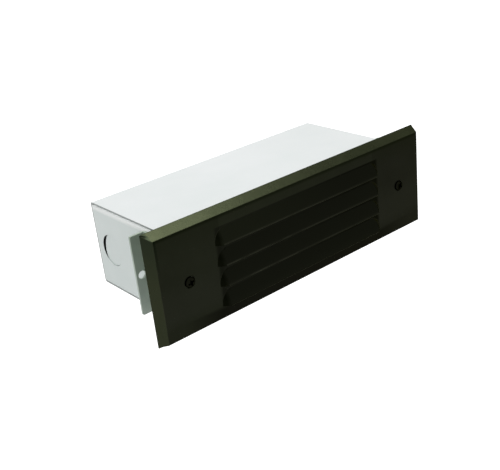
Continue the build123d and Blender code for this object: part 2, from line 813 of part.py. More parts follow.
with BuildPart() as lampholder_contact:
    foot_y = lamp_y - contact_foot
    with BuildSketch(Plane.XY.offset(-contact_width / 2)):
        with BuildLine():
            Polyline(
                (holder_floor_x, foot_y - contact_reach / 2),
                (holder_floor_x, foot_y + contact_reach / 2),
                (holder_floor_x - contact_rise, lamp_y - contact_reach / 2),
                (holder_floor_x - contact_rise, lamp_y + contact_reach / 2),
                (contact_face_x, lamp_y + contact_reach / 2),
                (contact_face_x, lamp_y - contact_reach / 2 - contact_sheet / 2),
                (holder_floor_x - contact_sheet, foot_y + contact_reach / 2 - contact_sheet / 2),
                (holder_floor_x - contact_sheet, foot_y - contact_reach / 2),
                close=True,
            )
        make_face()
    extrude(amount=contact_width)
save(lampholder_contact, "lampholder_contact")

with BuildPart() as lampholder_screws:
    with BuildSketch(at_x(bracket_back_x)):
        with Locations(holder_screw_places):
            Circle(holder_screw_head_radius)
    extrude(amount=holder_screw_head_height)
    fillet(lampholder_screws.faces().group_by(Axis.X)[-1].edges(), holder_screw_head_height / 3)
    with BuildSketch(at_x(bracket_back_x)):
        with Locations(holder_screw_places):
            Circle(holder_screw_radius)
    extrude(amount=-holder_screw_length)
save(lampholder_screws, "lampholder_screws")

with BuildPart() as terminal_screws:
    clamp_y = terminal_y + 2 * wire_radius
    with BuildSketch(at_y(clamp_y + terminal_head_height)):
        with Locations(terminal_places):
            Circle(terminal_head_radius)
    extrude(amount=terminal_head_height)
    fillet(terminal_screws.faces().group_by(Axis.Y)[-1].edges(), terminal_head_height / 3)
    with BuildSketch(at_y(clamp_y)):
        with Locations(terminal_places):
            Circle(terminal_radius)
    extrude(amount=2 * wire_radius + terminal_depth)
save(terminal_screws, "terminal_screws")

# ---------------------------------------------------------------- lamp


def lamp_envelope(skin):
    """The lamp's outline, drawn in by skin, turned about the lamp's axis."""
    neck_x = rim_x + lamp_neck_inset - skin
    neck = lamp_neck_radius - skin
    full = lamp_radius - skin
    tip_x = lamp_tip_x + skin
    dome_x = lamp_tip_x + lamp_radius
    shoulder_x = rim_x - lamp_neck_length
    middle_x = (rim_x + shoulder_x) / 2
    with BuildPart() as envelope:
        with BuildSketch(Plane.XY):
            with BuildLine():
                def at(x, r):
                    return (x, lamp_y + r)
                Polyline(at(tip_x, 0), at(neck_x, 0), at(neck_x, neck), at(rim_x, neck))
                Bezier(at(rim_x, neck), at(middle_x, neck), at(middle_x, full), at(shoulder_x, full))
                Line(at(shoulder_x, full), at(dome_x, full))
                slant = sin(radians(45)) * full
                ThreePointArc(at(dome_x, full), at(dome_x - slant, slant), at(tip_x, 0))
            make_face()
        revolve(axis=lamp_axis)
    return envelope


with BuildPart() as lamp_glass:
    add(lamp_envelope(0).part)
    add(lamp_envelope(lamp_glass_wall).part, mode=Mode.SUBTRACT)
save(lamp_glass, "lamp_glass")

with BuildPart() as lamp_base:
    band = lamp_y + (base_crest_radius + base_root_radius) / 2
    inner = base_root_radius - base_sheet
    wave_start = rim_x + (base_length - base_threads * base_pitch) / 2
    wave_end = wave_start + base_threads * base_pitch
    quarter = base_pitch / 4
    with BuildSketch(Plane.XY):
        with BuildLine():
            Polyline((wave_start, band), (rim_x, band), (rim_x, lamp_y + inner))
            Line((rim_x, lamp_y + inner), (base_end_x, lamp_y + inner))
            Polyline((base_end_x, lamp_y + inner), (base_end_x, band), (wave_end, band))
            for i in range(base_threads):
                x = wave_start + i * base_pitch
                crest = (x + quarter, lamp_y + base_crest_radius)
                root = (x + 3 * quarter, lamp_y + base_root_radius)
                ThreePointArc((x, band), crest, (x + 2 * quarter, band))
                ThreePointArc((x + 2 * quarter, band), root, (x + 4 * quarter, band))
        make_face()
    revolve(axis=lamp_axis)
save(lamp_base, "lamp_base")

with BuildPart() as lamp_insulator:
    with BuildSketch(Plane.XY):
        with BuildLine():
            Polyline(
                (base_end_x - insulator_inset, lamp_y),
                (base_end_x - insulator_inset, lamp_y + inner),
                (base_end_x, lamp_y + inner),
                (insulator_end_x, lamp_y + insulator_end_radius),
                (insulator_end_x, lamp_y),
                close=True,
            )
        make_face()
    revolve(axis=lamp_axis)
save(lamp_insulator, "lamp_insulator")

with BuildPart() as lamp_contact:
    with BuildSketch(at_x(insulator_end_x)):
        with Locations((lamp_y, 0)):
            Circle(base_contact_radius)
    extrude(amount=base_contact_height)
    fillet(lamp_contact.faces().sort_by(Axis.X)[-1].edges(), base_contact_height * 0.8)
save(lamp_contact, "lamp_contact")

stem_x = rim_x + lamp_neck_inset - lamp_glass_wall
stem_end_x = stem_x - stem_length

with BuildPart() as lamp_stem:
    with BuildSketch(at_x(stem_x)):
        with Locations((lamp_y, 0)):
            Circle(stem_radius)
    extrude(amount=-stem_length)
save(lamp_stem, "lamp_stem")

with BuildPart() as lamp_filament:
    far_x = stem_end_x - filament_length
    with BuildLine() as filament_path:
        FilletPolyline(
            (stem_end_x, lamp_y + filament_half_foot, 0),
            (stem_end_x - filament_half_foot, lamp_y + filament_half_foot, 0),
            (stem_end_x - filament_half_span, lamp_y + filament_half_span, 0),
            (far_x, lamp_y + filament_half_span, 0),
            (far_x, lamp_y - filament_half_span, 0),
            (stem_end_x - filament_half_span, lamp_y - filament_half_span, 0),
            (stem_end_x - filament_half_foot, lamp_y - filament_half_foot, 0),
            (stem_end_x, lamp_y - filament_half_foot, 0),
            radius=filament_half_foot / 2,
        )
    with BuildSketch(Plane(origin=filament_path.line @ 0, z_dir=filament_path.line % 0)):
        Circle(filament_radius)
    sweep()
save(lamp_filament, "lamp_filament")

# ---------------------------------------------------------------- wiring

wire_y = terminal_y + wire_radius
wire_z = terminal_spacing / 2 - terminal_radius - wire_radius - seat
strip_x = terminal_x - strip_gap


def lead_radii(points):
    """Bend radii along a lead: each takes 0.45 of the shorter run beside its corner."""
    radii = []
    for before, corner, after in zip(points, points[1:], points[2:]):
        run_in = Vector(*corner) - Vector(*before)
        run_out = Vector(*after) - Vector(*corner)
        turn = radians(run_in.get_angle(run_out))
        radii.append(0.45 * min(run_in.length, run_out.length) / tan(turn / 2))
    return radii


def lead(points, name):
    """An insulated lead along its route."""
    radii = lead_radii(points)
    print(name, "bend radii", [round(radius, 1) for radius in radii])
    with BuildPart() as insulation:
        with BuildLine() as route:
            FilletPolyline(points, radius=radii)
        with BuildSketch(Plane(origin=route.line @ 0, z_dir=route.line % 0)):
            Circle(lead_radius)
        sweep()
    save(insulation, name)


def bare_wire(start, direction, length):
    """A straight end of bared copper."""
    with BuildPart() as wire:
        with BuildSketch(Plane(origin=start, z_dir=direction)):
            Circle(wire_radius)
        extrude(amount=length)
    return wire


def wiring_run(start_x, reach, bends):
    """Points in the wiring space, each given by its share of the reach, the depth and the height."""
    return [
        (start_x - along * reach, reflector_back + depth * wiring_depth, rise * cap_half_height)
        for along, depth, rise in bends
    ]


def lead_route(side, bends):
    """From a terminal through the bushing into the wiring space; side is 1 above, -1 below."""
    through_z = side * lead_half_spacing
    through_bushing = [
        (strip_x, wire_y, side * wire_z),
        (strip_x - bushing_wall - 2 * lead_radius, wire_y, side * wire_z),
        (bushing_x, wire_y + 2 * lead_radius, through_z),
        (bushing_x, reflector_back + wiring_depth / 5, through_z),
    ]
    return through_bushing + wiring_run(bushing_x, lead_reach, bends)


black_bends = [
    (0.04, 0.50, 0.21),
    (0.26, 0.50, 0.33),
    (0.55, 0.46, 0.29),
    (0.82, 0.52, 0.34),
    (1.00, 0.49, 0.29),
]
white_bends = [
    (0.04, 0.53, -0.21),
    (0.24, 0.56, -0.31),
    (0.51, 0.50, -0.36),
    (0.75, 0.54, -0.31),
    (0.95, 0.59, -0.36),
]
black_route = lead_route(1, black_bends)
white_route = lead_route(-1, white_bends)
lug_y = cap_back_y - lug_barrel_radius
lug_end_x = ground_x - lug_radius - lug_barrel_length
ground_route = [
    (lug_end_x, lug_y, ground_z),
    (lug_end_x - ground_reach / 5, lug_y, ground_z),
    (lug_end_x - ground_reach * 3 / 5, lug_y - wiring_depth / 7, ground_z + lead_radius),
    (lug_end_x - ground_reach, lug_y - wiring_depth / 5, ground_z - lead_radius / 2),
]
lead(black_route, "lead_black")
lead(white_route, "lead_white")
lead(ground_route, "ground_lead")

with BuildPart() as lead_ends:
    for route in (black_route, white_route):
        add(bare_wire(route[0], (1, 0, 0), strip_gap + terminal_head_radius).part)
    for route in (black_route, white_route, ground_route):
        onward = Vector(*route[-1]) - Vector(*route[-2])
        add(bare_wire(route[-1], onward, bare_end).part)
save(lead_ends, "lead_ends")

with BuildPart() as lead_bushing:
    front_y = reflector_y - bushing_front
    rear_y = reflector_back + bushing_rear
    flange = bushing_hole + bushing_flange
    snap = bushing_hole + bushing_flange / 2
    with BuildSketch(Plane.XY):
        with BuildLine():
            Polyline(
                (bushing_x + bushing_bore, front_y),
                (bushing_x + flange, front_y),
                (bushing_x + flange, reflector_y),
                (bushing_x + bushing_hole, reflector_y),
                (bushing_x + bushing_hole, reflector_back),
                (bushing_x + snap, reflector_back),
                (bushing_x + bushing_hole, rear_y),
                (bushing_x + bushing_bore, rear_y),
                close=True,
            )
        make_face()
    revolve(axis=Axis((bushing_x, 0, 0), (0, 1, 0)))
save(lead_bushing, "lead_bushing")

with BuildPart() as ground_terminal:
    with BuildSketch(at_y(cap_back_y)):
        with Locations((ground_x, ground_z)):
            Circle(lug_radius)
        with Locations((ground_x - lug_radius, ground_z)):
            Rectangle(2 * lug_radius, 2 * lug_barrel_radius)
    extrude(amount=lug_thickness)
    with BuildSketch(at_x(lug_end_x)):
        with Locations((lug_y, ground_z)):
            Circle(lug_barrel_radius)
    extrude(amount=lug_barrel_length)
    with BuildSketch(at_y(cap_back_y)):
        with Locations((ground_x, ground_z)):
            Circle(ground_screw_radius + seat)
    extrude(amount=lug_thickness, mode=Mode.SUBTRACT)
save(ground_terminal, "ground_terminal")

with BuildPart() as ground_screw:
    lug_face_y = cap_back_y - lug_thickness
    with BuildSketch(at_y(lug_face_y)):
        with Locations((ground_x, ground_z)):
            RegularPolygon(ground_head_radius, 6)
    extrude(amount=ground_head_height)
    with BuildSketch(at_y(back_y)):
        with Locations((ground_x, ground_z)):
            Circle(ground_screw_radius)
    extrude(amount=back_y - lug_face_y)
save(ground_screw, "ground_screw")
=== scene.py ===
# %% [markdown]
# # A recessed step light
#
# The light is a folded sheet-metal housing that sits in a wall or a riser, closed by a dark cast
# faceplate with four hooded louvres.  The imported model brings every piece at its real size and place.
# This lesson sets up a camera and a studio, gives each piece its finish, and winds the lamp's filament.
# Everything is in metres, with X along the plate, Y into the wall and Z up.

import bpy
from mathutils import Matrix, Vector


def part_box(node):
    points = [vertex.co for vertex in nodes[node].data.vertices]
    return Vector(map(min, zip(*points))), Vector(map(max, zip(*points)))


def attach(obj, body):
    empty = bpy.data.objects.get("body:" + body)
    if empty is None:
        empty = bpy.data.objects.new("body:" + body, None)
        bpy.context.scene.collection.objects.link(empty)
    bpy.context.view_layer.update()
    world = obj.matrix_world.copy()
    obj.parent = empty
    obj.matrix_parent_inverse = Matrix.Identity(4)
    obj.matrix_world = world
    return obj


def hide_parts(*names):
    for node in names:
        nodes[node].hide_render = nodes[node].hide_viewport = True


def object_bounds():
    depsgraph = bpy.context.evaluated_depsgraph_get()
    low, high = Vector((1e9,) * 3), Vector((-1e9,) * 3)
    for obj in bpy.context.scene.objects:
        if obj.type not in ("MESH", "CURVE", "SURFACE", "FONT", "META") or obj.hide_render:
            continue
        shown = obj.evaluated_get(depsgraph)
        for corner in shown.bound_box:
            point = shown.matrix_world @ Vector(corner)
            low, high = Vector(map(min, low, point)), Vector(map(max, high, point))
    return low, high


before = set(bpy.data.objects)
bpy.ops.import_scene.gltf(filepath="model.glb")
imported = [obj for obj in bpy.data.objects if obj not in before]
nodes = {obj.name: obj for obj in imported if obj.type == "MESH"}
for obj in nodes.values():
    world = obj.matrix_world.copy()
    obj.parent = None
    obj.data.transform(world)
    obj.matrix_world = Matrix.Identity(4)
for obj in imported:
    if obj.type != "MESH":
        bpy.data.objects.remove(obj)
cad_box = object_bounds()
print("pieces in the frame:", len(nodes))

# %% Imports and short names
import math

import bpy
from mathutils import Matrix, Vector

MM = 0.001
print("one millimetre is", MM, "m")

# %% [markdown]
# ## The camera
#
# The picture was taken from the front left and from above, with the camera turned a little about its
# own axis.  Azimuth, elevation, roll and distance place the camera round a point on the light, and the
# three axes of its matrix follow from them.  Building the matrix by hand keeps the roll exact, which a
# Track To constraint would not.

# %% Place the camera
VIEW_AZIMUTH = math.radians(-37.70)
VIEW_ELEVATION = math.radians(24.29)
VIEW_ROLL = math.radians(-6.475)
VIEW_DISTANCE = 0.5446
VIEW_TARGET = Vector((-0.04015, -0.0249, 0.00872))
VIEW_LENS = 60.85
VIEW_SENSOR = 36


def camera_matrix(target, azimuth, elevation, roll, distance):
    """The camera's matrix, looking at target from distance."""
    back = Vector((
        math.sin(azimuth) * math.cos(elevation),
        -math.cos(azimuth) * math.cos(elevation),
        math.sin(elevation),
    ))
    level_right = Vector((math.cos(azimuth), math.sin(azimuth), 0))
    level_up = back.cross(level_right)
    right = math.cos(roll) * level_right + math.sin(roll) * level_up
    up = math.cos(roll) * level_up - math.sin(roll) * level_right
    turn = Matrix((right, up, back)).transposed()
    return Matrix.Translation(target + back * distance) @ turn.to_4x4()


camera_data = bpy.data.cameras.new("camera")
camera_data.lens = VIEW_LENS
camera_data.sensor_width = VIEW_SENSOR
camera = bpy.data.objects.new("camera", camera_data)
camera.matrix_world = camera_matrix(VIEW_TARGET, VIEW_AZIMUTH, VIEW_ELEVATION, VIEW_ROLL, VIEW_DISTANCE)
bpy.context.scene.collection.objects.link(camera)
bpy.context.scene.camera = camera
bpy.context.scene.view_settings.view_transform = "Standard"
print("camera at", [round(v, 3) for v in camera.matrix_world.translation])

# %% [markdown]
# ## Floor and light
#
# The light is shown on white.  A matte white floor well below it takes a soft shadow, and a little
# glow that only the camera and the reflections see lifts the floor to paper white.  The sky is white to
# the camera and in reflections too, but under a quarter of it goes into the shadows.  Two wide suns
# stand for softboxes, because a sun lights the floor evenly however far it reaches.  The key light comes
# from above and the left.  The edge light hangs above and a little behind the light, where the
# faceplate's top edge mirrors it into the camera: that is what makes this edge glow at its near end and
# fade away.

# %% Floor
FLOOR_BELOW = 0.26
FLOOR_SIZE = 30
FLOOR_GLOW = 0.45
PAPER_WHITE = (0.9, 0.9, 0.9, 1)
PAPER_ROUGHNESS = 0.9
PAPER_SPECULAR = 0.1


def light_path_seen(tree):
    """A value of 1 for camera, glossy and transmission rays, and of 0 for all others."""
    path = tree.nodes.new("ShaderNodeLightPath")
    seen = path.outputs["Is Camera Ray"]
    for ray in ("Is Glossy Ray", "Is Transmission Ray"):
        either = tree.nodes.new("ShaderNodeMath")
        either.operation = "MAXIMUM"
        tree.links.new(seen, either.inputs[0])
        tree.links.new(path.outputs[ray], either.inputs[1])
        seen = either.outputs[0]
    return seen


bpy.ops.object.select_all(action="DESELECT")
bpy.ops.mesh.primitive_plane_add(size=FLOOR_SIZE, location=(0, 0, cad_box[0][2] - FLOOR_BELOW))
floor = bpy.context.object
floor.name = "floor"
paper = bpy.data.materials.new("white_paper")
paper.use_nodes = True
paper_tree = paper.node_tree
paper_shader = paper_tree.nodes["Principled BSDF"]
paper_shader.inputs["Base Color"].default_value = PAPER_WHITE
paper_shader.inputs["Roughness"].default_value = PAPER_ROUGHNESS
paper_shader.inputs["Specular IOR Level"].default_value = PAPER_SPECULAR
paper_glow = paper_tree.nodes.new("ShaderNodeEmission")
paper_lift = paper_tree.nodes.new("ShaderNodeMath")
paper_lift.operation = "MULTIPLY"
paper_lift.inputs[1].default_value = FLOOR_GLOW
paper_sum = paper_tree.nodes.new("ShaderNodeAddShader")
paper_tree.links.new(light_path_seen(paper_tree), paper_lift.inputs[0])
paper_tree.links.new(paper_lift.outputs[0], paper_glow.inputs["Strength"])
paper_tree.links.new(paper_shader.outputs[0], paper_sum.inputs[0])
paper_tree.links.new(paper_glow.outputs[0], paper_sum.inputs[1])
paper_tree.links.new(paper_sum.outputs[0], paper_tree.nodes["Material Output"].inputs["Surface"])
floor.data.materials.append(paper)
print("the floor lies", FLOOR_BELOW, "m under the light")

# %% World and suns
SKY_FILL = 0.23
KEY_TOWARDS = (-0.33, 0.12, 0.93)
EDGE_TOWARDS = (0.345, 0.17, 0.923)

world = bpy.data.worlds.new("studio")
world.use_nodes = True
bpy.context.scene.world = world
world_tree = world.node_tree
sky = world_tree.nodes["Background"]
sky.inputs["Color"].default_value = (1, 1, 1, 1)
sky_level = world_tree.nodes.new("ShaderNodeMapRange")
sky_level.inputs["To Min"].default_value = SKY_FILL
sky_level.inputs["To Max"].default_value = 1.0
world_tree.links.new(light_path_seen(world_tree), sky_level.inputs["Value"])
world_tree.links.new(sky_level.outputs[0], sky.inputs["Strength"])


def soft_sun(name, towards, strength, spread):
    """A sun that shines from the direction towards and looks spread degrees wide, like a softbox."""
    data = bpy.data.lights.new(name, "SUN")
    data.energy = strength
    data.angle = math.radians(spread)
    sun = bpy.data.objects.new(name, data)
    sun.matrix_world = Vector(towards).to_track_quat("Z", "Y").to_matrix().to_4x4()
    bpy.context.scene.collection.objects.link(sun)


soft_sun("key_light", KEY_TOWARDS, strength=1.15, spread=40)
soft_sun("edge_light", EDGE_TOWARDS, strength=1.40, spread=28)

# %% [markdown]
# ## A workshop for finishes
#
# Every finish here starts from the same few ingredients: a base colour that drifts a little across
# the piece, a roughness that drifts with it, and a fine bump at the scale of the real surface.  A
# small class wires these up, so that each material below reads as a short list of what its surface
# does.  All patterns run on Object coordinates, in metres, so a scale of 1000 is a grain of 1 mm.

# %% A helper that builds finishes
NOISE_SPAN = (0.3, 0.7)
CLOUD_SPAN = (0.35, 0.65)
EDGE_SAMPLES = 4


class Finish:
    """A material in the making: a principled shader, fed by patterns in object space."""

    def __init__(self, name, **settings):
        self.material = bpy.data.materials.new(name)
        self.material.use_nodes = True
        self.tree = self.material.node_tree
        self.shader = self.tree.nodes["Principled BSDF"]
        self.place = self.tree.nodes.new("ShaderNodeTexCoord").outputs["Object"]
        self.normal = None
        for socket, value in settings.items():
            self.shader.inputs[socket.replace("_", " ")].default_value = value

    def link(self, start, end):
        """Joins an output to an input."""
        self.tree.links.new(start, end)

    def node(self, kind, **settings):
        """A new node of a kind, with its settings."""
        made = self.tree.nodes.new("ShaderNode" + kind)
        for setting, value in settings.items():
            setattr(made, setting, value)
        return made

    def stretched(self, stretch):
        """Object coordinates, scaled along each axis, for grain that has a direction."""
        mapping = self.node("Mapping")
        mapping.inputs["Scale"].default_value = stretch
        self.link(self.place, mapping.inputs["Vector"])
        return mapping.outputs[0]

    def noise(self, scale, detail=3.0, roughness=0.55, place=None):
        """Cloudy noise between 0 and 1."""
        noise = self.node("TexNoise")
        noise.inputs["Scale"].default_value = scale
        noise.inputs["Detail"].default_value = detail
        noise.inputs["Roughness"].default_value = roughness
        self.link(place or self.place, noise.inputs["Vector"])
        return noise.outputs["Fac"]

    def cells(self, scale):
        """Distance to the nearest of many scattered points."""
        cells = self.node("TexVoronoi", feature="F1")
        cells.inputs["Scale"].default_value = scale
        self.link(self.place, cells.inputs["Vector"])
        return cells.outputs["Distance"]

    def spread(self, value, low, high, start=0.0, end=1.0):
        """The part of value between low and high, stretched to run from start to end."""
        spread = self.node("MapRange")
        spread.inputs["From Min"].default_value = low
        spread.inputs["From Max"].default_value = high
        spread.inputs["To Min"].default_value = start
        spread.inputs["To Max"].default_value = end
        self.link(value, spread.inputs["Value"])
        return spread.outputs[0]

    def colours(self, value, first, second):
        """A colour that runs from first to second with value."""
        blend = self.node("Mix", data_type="RGBA")
        blend.inputs["A"].default_value = (*first, 1)
        blend.inputs["B"].default_value = (*second, 1)
        self.link(value, blend.inputs["Factor"])
        return blend.outputs["Result"]

    def overlay(self, value, colour, top):
        """Colour, covered by the colour top where value is 1."""
        blend = self.node("Mix", data_type="RGBA")
        blend.inputs["B"].default_value = (*top, 1)
        self.link(value, blend.inputs["Factor"])
        self.link(colour, blend.inputs["A"])
        return blend.outputs["Result"]

    def paint(self, colour):
        """Gives the shader its base colour."""
        self.link(colour, self.shader.inputs["Base Color"])

    def dull(self, value, low, high):
        """Roughness that drifts from low to high with value."""
        self.link(self.spread(value, *NOISE_SPAN, low, high), self.shader.inputs["Roughness"])

    def emboss(self, value, depth):
        """Bump: where value is 1 the surface stands depth metres proud.  Each call adds to the last."""
        bump = self.node("Bump")
        bump.inputs["Distance"].default_value = depth
        if self.normal:
            self.link(self.normal, bump.inputs["Normal"])
        self.link(value, bump.inputs["Height"])
        self.link(bump.outputs[0], self.shader.inputs["Normal"])
        self.normal = bump.outputs[0]

    def soften(self, radius):
        """Rounds the sharp edges as they catch the light, without changing the mesh."""
        bevel = self.node("Bevel", samples=EDGE_SAMPLES)
        bevel.inputs["Radius"].default_value = radius
        self.link(bevel.outputs[0], self.shader.inputs["Normal"])
        self.normal = bevel.outputs[0]

    def put_on(self, *names):
        """Gives the finish to CAD nodes by name."""
        for name in names:
            mesh = nodes[name].data
            mesh.materials.clear()
            mesh.materials.append(self.material)
        print(self.material.name, "on", ", ".join(names))


# %% [markdown]
# ## The housing's enamel
#
# The housing is thin sheet with a pale grey baked enamel.  Baked enamel is smooth but never flat: it
# has a shallow orange peel about a millimetre across, faint clouds where the coat is thinner, and a
# few rubbed patches.  All three are noise at different scales.  The sheared edges of the sheet are
# painted darker, partly as bare steel where the enamel hardly holds and partly as painted shade in the
# seams: they draw the seams between the pieces.  Beside a pry-out's slot the cut edge is painted near
# black, a painted shadow in the gap.  Along the top bend of an end cap a painted highlight makes the
# enamel brightest, on the wrap painted shade darkens it a little to the right, and on the ears painted
# shade darkens it upwards.  The ears' enamel is itself the housing's painted darker, as painted shade
# on faces that get little light.  On each piece a mask finds these places, by the way they face or by
# where they lie.


# %% Helpers for masks
def combine(finish, how, first, second):
    """Two masks joined: MAXIMUM is either, MINIMUM is both, SUBTRACT is the first without the second."""
    joined = finish.node("Math", operation=how, use_clamp=True)
    finish.link(first, joined.inputs[0])
    finish.link(second, joined.inputs[1])
    return joined.outputs[0]


def axis_of(finish, axis, mirrored=False):
    """One of the object's own coordinates, or with mirrored its distance from the middle."""
    place = finish.node("SeparateXYZ")
    finish.link(finish.place, place.inputs[0])
    value = place.outputs[axis]
    if not mirrored:
        return value
    away = finish.node("Math", operation="ABSOLUTE")
    finish.link(value, away.inputs[0])
    return away.outputs[0]


# %% Masks for the wrap and the ears
RIGHT_SHADE = (0, 90 * MM)
RIGHT_SHARE = 0.35
EAR_SHADE = (-8 * MM, 24 * MM)
EAR_SHARE = 0.75
END_FACING = (0.6, 0.8)


def painted_shade_right(finish):
    """A mask that grows towards the right, for painted shade that darkens the wrap a little there."""
    return finish.spread(axis_of(finish, "X"), *RIGHT_SHADE, 0, RIGHT_SHARE)


def faces_along_x(finish):
    """A mask of 1 where the surface faces along X, as the cut ends of the folded sheet do: painted
    darker, as bare steel and as painted seam shade.
    """
    facing = finish.node("SeparateXYZ")
    finish.link(finish.node("NewGeometry").outputs["True Normal"], facing.inputs[0])
    size = finish.node("Math", operation="ABSOLUTE")
    finish.link(facing.outputs["X"], size.inputs[0])
    return finish.spread(size.outputs[0], *END_FACING)


def shaded_above(finish):
    """A mask that grows towards the top, for painted shade that darkens the ears upwards."""
    return finish.spread(axis_of(finish, "Z"), *EAR_SHADE, 0, EAR_SHARE)


# %% Masks for the end caps
KNOCKOUT_RADIUS = 11.1 * MM
KNOCKOUT_FROM_BACK = 20.2 * MM
CUT_EDGE_REACH = (KNOCKOUT_RADIUS + 0.15 * MM, KNOCKOUT_RADIUS + 0.05 * MM)
PRY_SLOT_TURN = math.radians(15)
PRY_SLOT_REACH = (0.45 * KNOCKOUT_RADIUS, 0.7 * KNOCKOUT_RADIUS)
BEND_REACH = 3.8 * MM
pry_slot_side = Vector((0, math.cos(PRY_SLOT_TURN), math.sin(PRY_SLOT_TURN)))
knockout_middle = Vector((0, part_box("housing_wrap")[1][1] - KNOCKOUT_FROM_BACK, 0))
print("the pry-outs' middle lies", round(knockout_middle.y, 4), "m behind the ears' faces")


def pry_slot_shadow(finish):
    """A mask of 1 on the cut edge beside the pry-out's slot, which lies behind its middle, for a painted
    shadow in the gap.
    """
    flattened = finish.node("VectorMath", operation="MULTIPLY")
    flattened.inputs[1].default_value = (0, 1, 1)
    finish.link(finish.place, flattened.inputs[0])
    from_middle = finish.node("VectorMath", operation="DISTANCE")
    from_middle.inputs[1].default_value = knockout_middle
    finish.link(flattened.outputs[0], from_middle.inputs[0])
    on_cut_edge = finish.spread(from_middle.outputs["Value"], *CUT_EDGE_REACH)
    towards_slot = finish.node("VectorMath", operation="DOT_PRODUCT")
    towards_slot.inputs[1].default_value = pry_slot_side
    finish.link(finish.place, towards_slot.inputs[0])
    middle = knockout_middle.dot(pry_slot_side)
    behind = finish.spread(towards_slot.outputs["Value"], *(middle + reach for reach in PRY_SLOT_REACH))
    return combine(finish, "MINIMUM", on_cut_edge, behind)


def painted_bend_highlight(finish):
    """A mask of 1 along the top of an end cap, for a painted highlight where the bend faces the light
    above.
    """
    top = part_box("end_cap_left")[1][2]
    return finish.spread(axis_of(finish, "Z"), top - BEND_REACH, top - BEND_REACH / 2)


# %% Enamel on the housing, the end caps and the ears
ENAMEL_CLOUDS = 18
ENAMEL_RUBS = 60
RUB_SPAN = (0.66, 0.8)
RUB_SHARE = 0.35
ENAMEL_ROUGHNESS = (0.32, 0.46)
ENAMEL_WAVES = 30
WAVE_HEIGHT = 0.12 * MM
ORANGE_PEEL = 900
PEEL_HEIGHT = 0.012 * MM
SHEET_EDGE_RADIUS = 0.3 * MM


def baked_enamel(name, light, shade, rubbed, *zones):
    """Grey enamel, from light to shade in clouds.  Each zone is a mask's function and its tone."""
    enamel = Finish(name, Specular_IOR_Level=0.4)
    enamel.soften(SHEET_EDGE_RADIUS)
    clouds = enamel.noise(ENAMEL_CLOUDS, 4)
    rubs = enamel.noise(ENAMEL_RUBS, 5, 0.7, enamel.stretched((0.4, 1, 1)))
    colour = enamel.colours(enamel.spread(clouds, *CLOUD_SPAN), shade, light)
    colour = enamel.overlay(enamel.spread(rubs, *RUB_SPAN, 0, RUB_SHARE), colour, rubbed)
    for zone, tone in zones:
        colour = enamel.overlay(zone(enamel), colour, tone)
    enamel.paint(colour)
    enamel.dull(rubs, *ENAMEL_ROUGHNESS)
    enamel.emboss(enamel.noise(ORANGE_PEEL, 2), PEEL_HEIGHT)
    enamel.emboss(enamel.noise(ENAMEL_WAVES, 2), WAVE_HEIGHT)
    return enamel


WRAP_TONES = (0.80, 0.83, 0.83), (0.76, 0.80, 0.795), (0.66, 0.69, 0.68)
# The wrap's zones: painted shade towards the right, and cut edges painted dark, partly bare steel and
# partly painted shade in the seams.
wrap_zones = (painted_shade_right, (0.70, 0.73, 0.72)), (faces_along_x, (0.33, 0.36, 0.35))
baked_enamel("wrap_enamel", *WRAP_TONES, *wrap_zones).put_on("housing_wrap")
CAP_TONES = (0.76, 0.825, 0.805), (0.72, 0.79, 0.77), (0.63, 0.68, 0.66)
# The caps' zones: a painted highlight along the top bend and a painted shadow in the pry-out's slot.
cap_zones = (painted_bend_highlight, (0.97, 1.0, 0.985)), (pry_slot_shadow, (0.008, 0.010, 0.008))
baked_enamel("cap_enamel", *CAP_TONES, *cap_zones).put_on("end_cap_left", "end_cap_right")
baked_enamel("knockout_enamel", *CAP_TONES).put_on("knockout_left", "knockout_right")
# The ears carry the housing's enamel painted darker, as painted shade on faces that get little light.
SHADED_EAR_TONES = (0.50, 0.58, 0.505), (0.45, 0.53, 0.46), (0.38, 0.44, 0.385)
shaded_ear_enamel = baked_enamel("shaded_ear_enamel", *SHADED_EAR_TONES, (shaded_above, (0.31, 0.39, 0.30)))
shaded_ear_enamel.put_on("mounting_ear_left", "mounting_ear_right")

# %% [markdown]
# ## The faceplate's bronze finish
#
# The faceplate is an aluminium casting with a dark bronze finish that lets little light back.  Such a
# finish has almost no colour of its own: what shows is a weak, slightly green reflection of the room.
# A metal shader says just that, with a base colour that is its reflection, about one part in a hundred.
# The coat carries painted light and shade in zones.  The drafted edges are painted lighter, a painted
# highlight of the lights above, with less of it in the middle of the top and bottom edges and painted
# shade on the upper left one; the lips of the louvres carry a thin painted highlight, less so at the
# right.  The hoods and the strips between them are painted darker than the face as painted shade, the
# strips most of all at the right, the hoods' cheeks darkest as a painted shadow, and the top hood a
# little lighter towards the left as painted light.  The plate's foot is painted darker as well, and a
# painted shade line runs under the top edge and down the upper left one.  The face is painted darkest
# near its top and lightest below its middle, a painted reflection, and from left to right it drifts from
# greenish to a darker brown, partly a change of tone and partly painted shade.  Each zone is a mask made
# from the piece's own coordinates and from the size of its box.

# %% The plate's own measures
PLATE_LEAN = 3.6 * MM
LOUVRE_PROUD = 4.2 * MM
FIELD_HALF_WIDTH = 73.8 * MM
FIELD_HALF_HEIGHT = 27.3 * MM
CHEEK_WIDTH = 5.0 * MM
FOOT_HEIGHT = 8.0 * MM
LIP_HIGHLIGHT_DEPTH = 0.25 * MM

plate_low, plate_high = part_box("faceplate")
front_y = plate_low[1]
face_y = front_y + LOUVRE_PROUD
half_width = (plate_high[0] - plate_low[0]) / 2
face_half_width = half_width - PLATE_LEAN
face_half_height = (plate_high[2] - plate_low[2]) / 2 - PLATE_LEAN
print("the plate's face is", round(2 * face_half_width, 4), "by", round(2 * face_half_height, 4), "m")

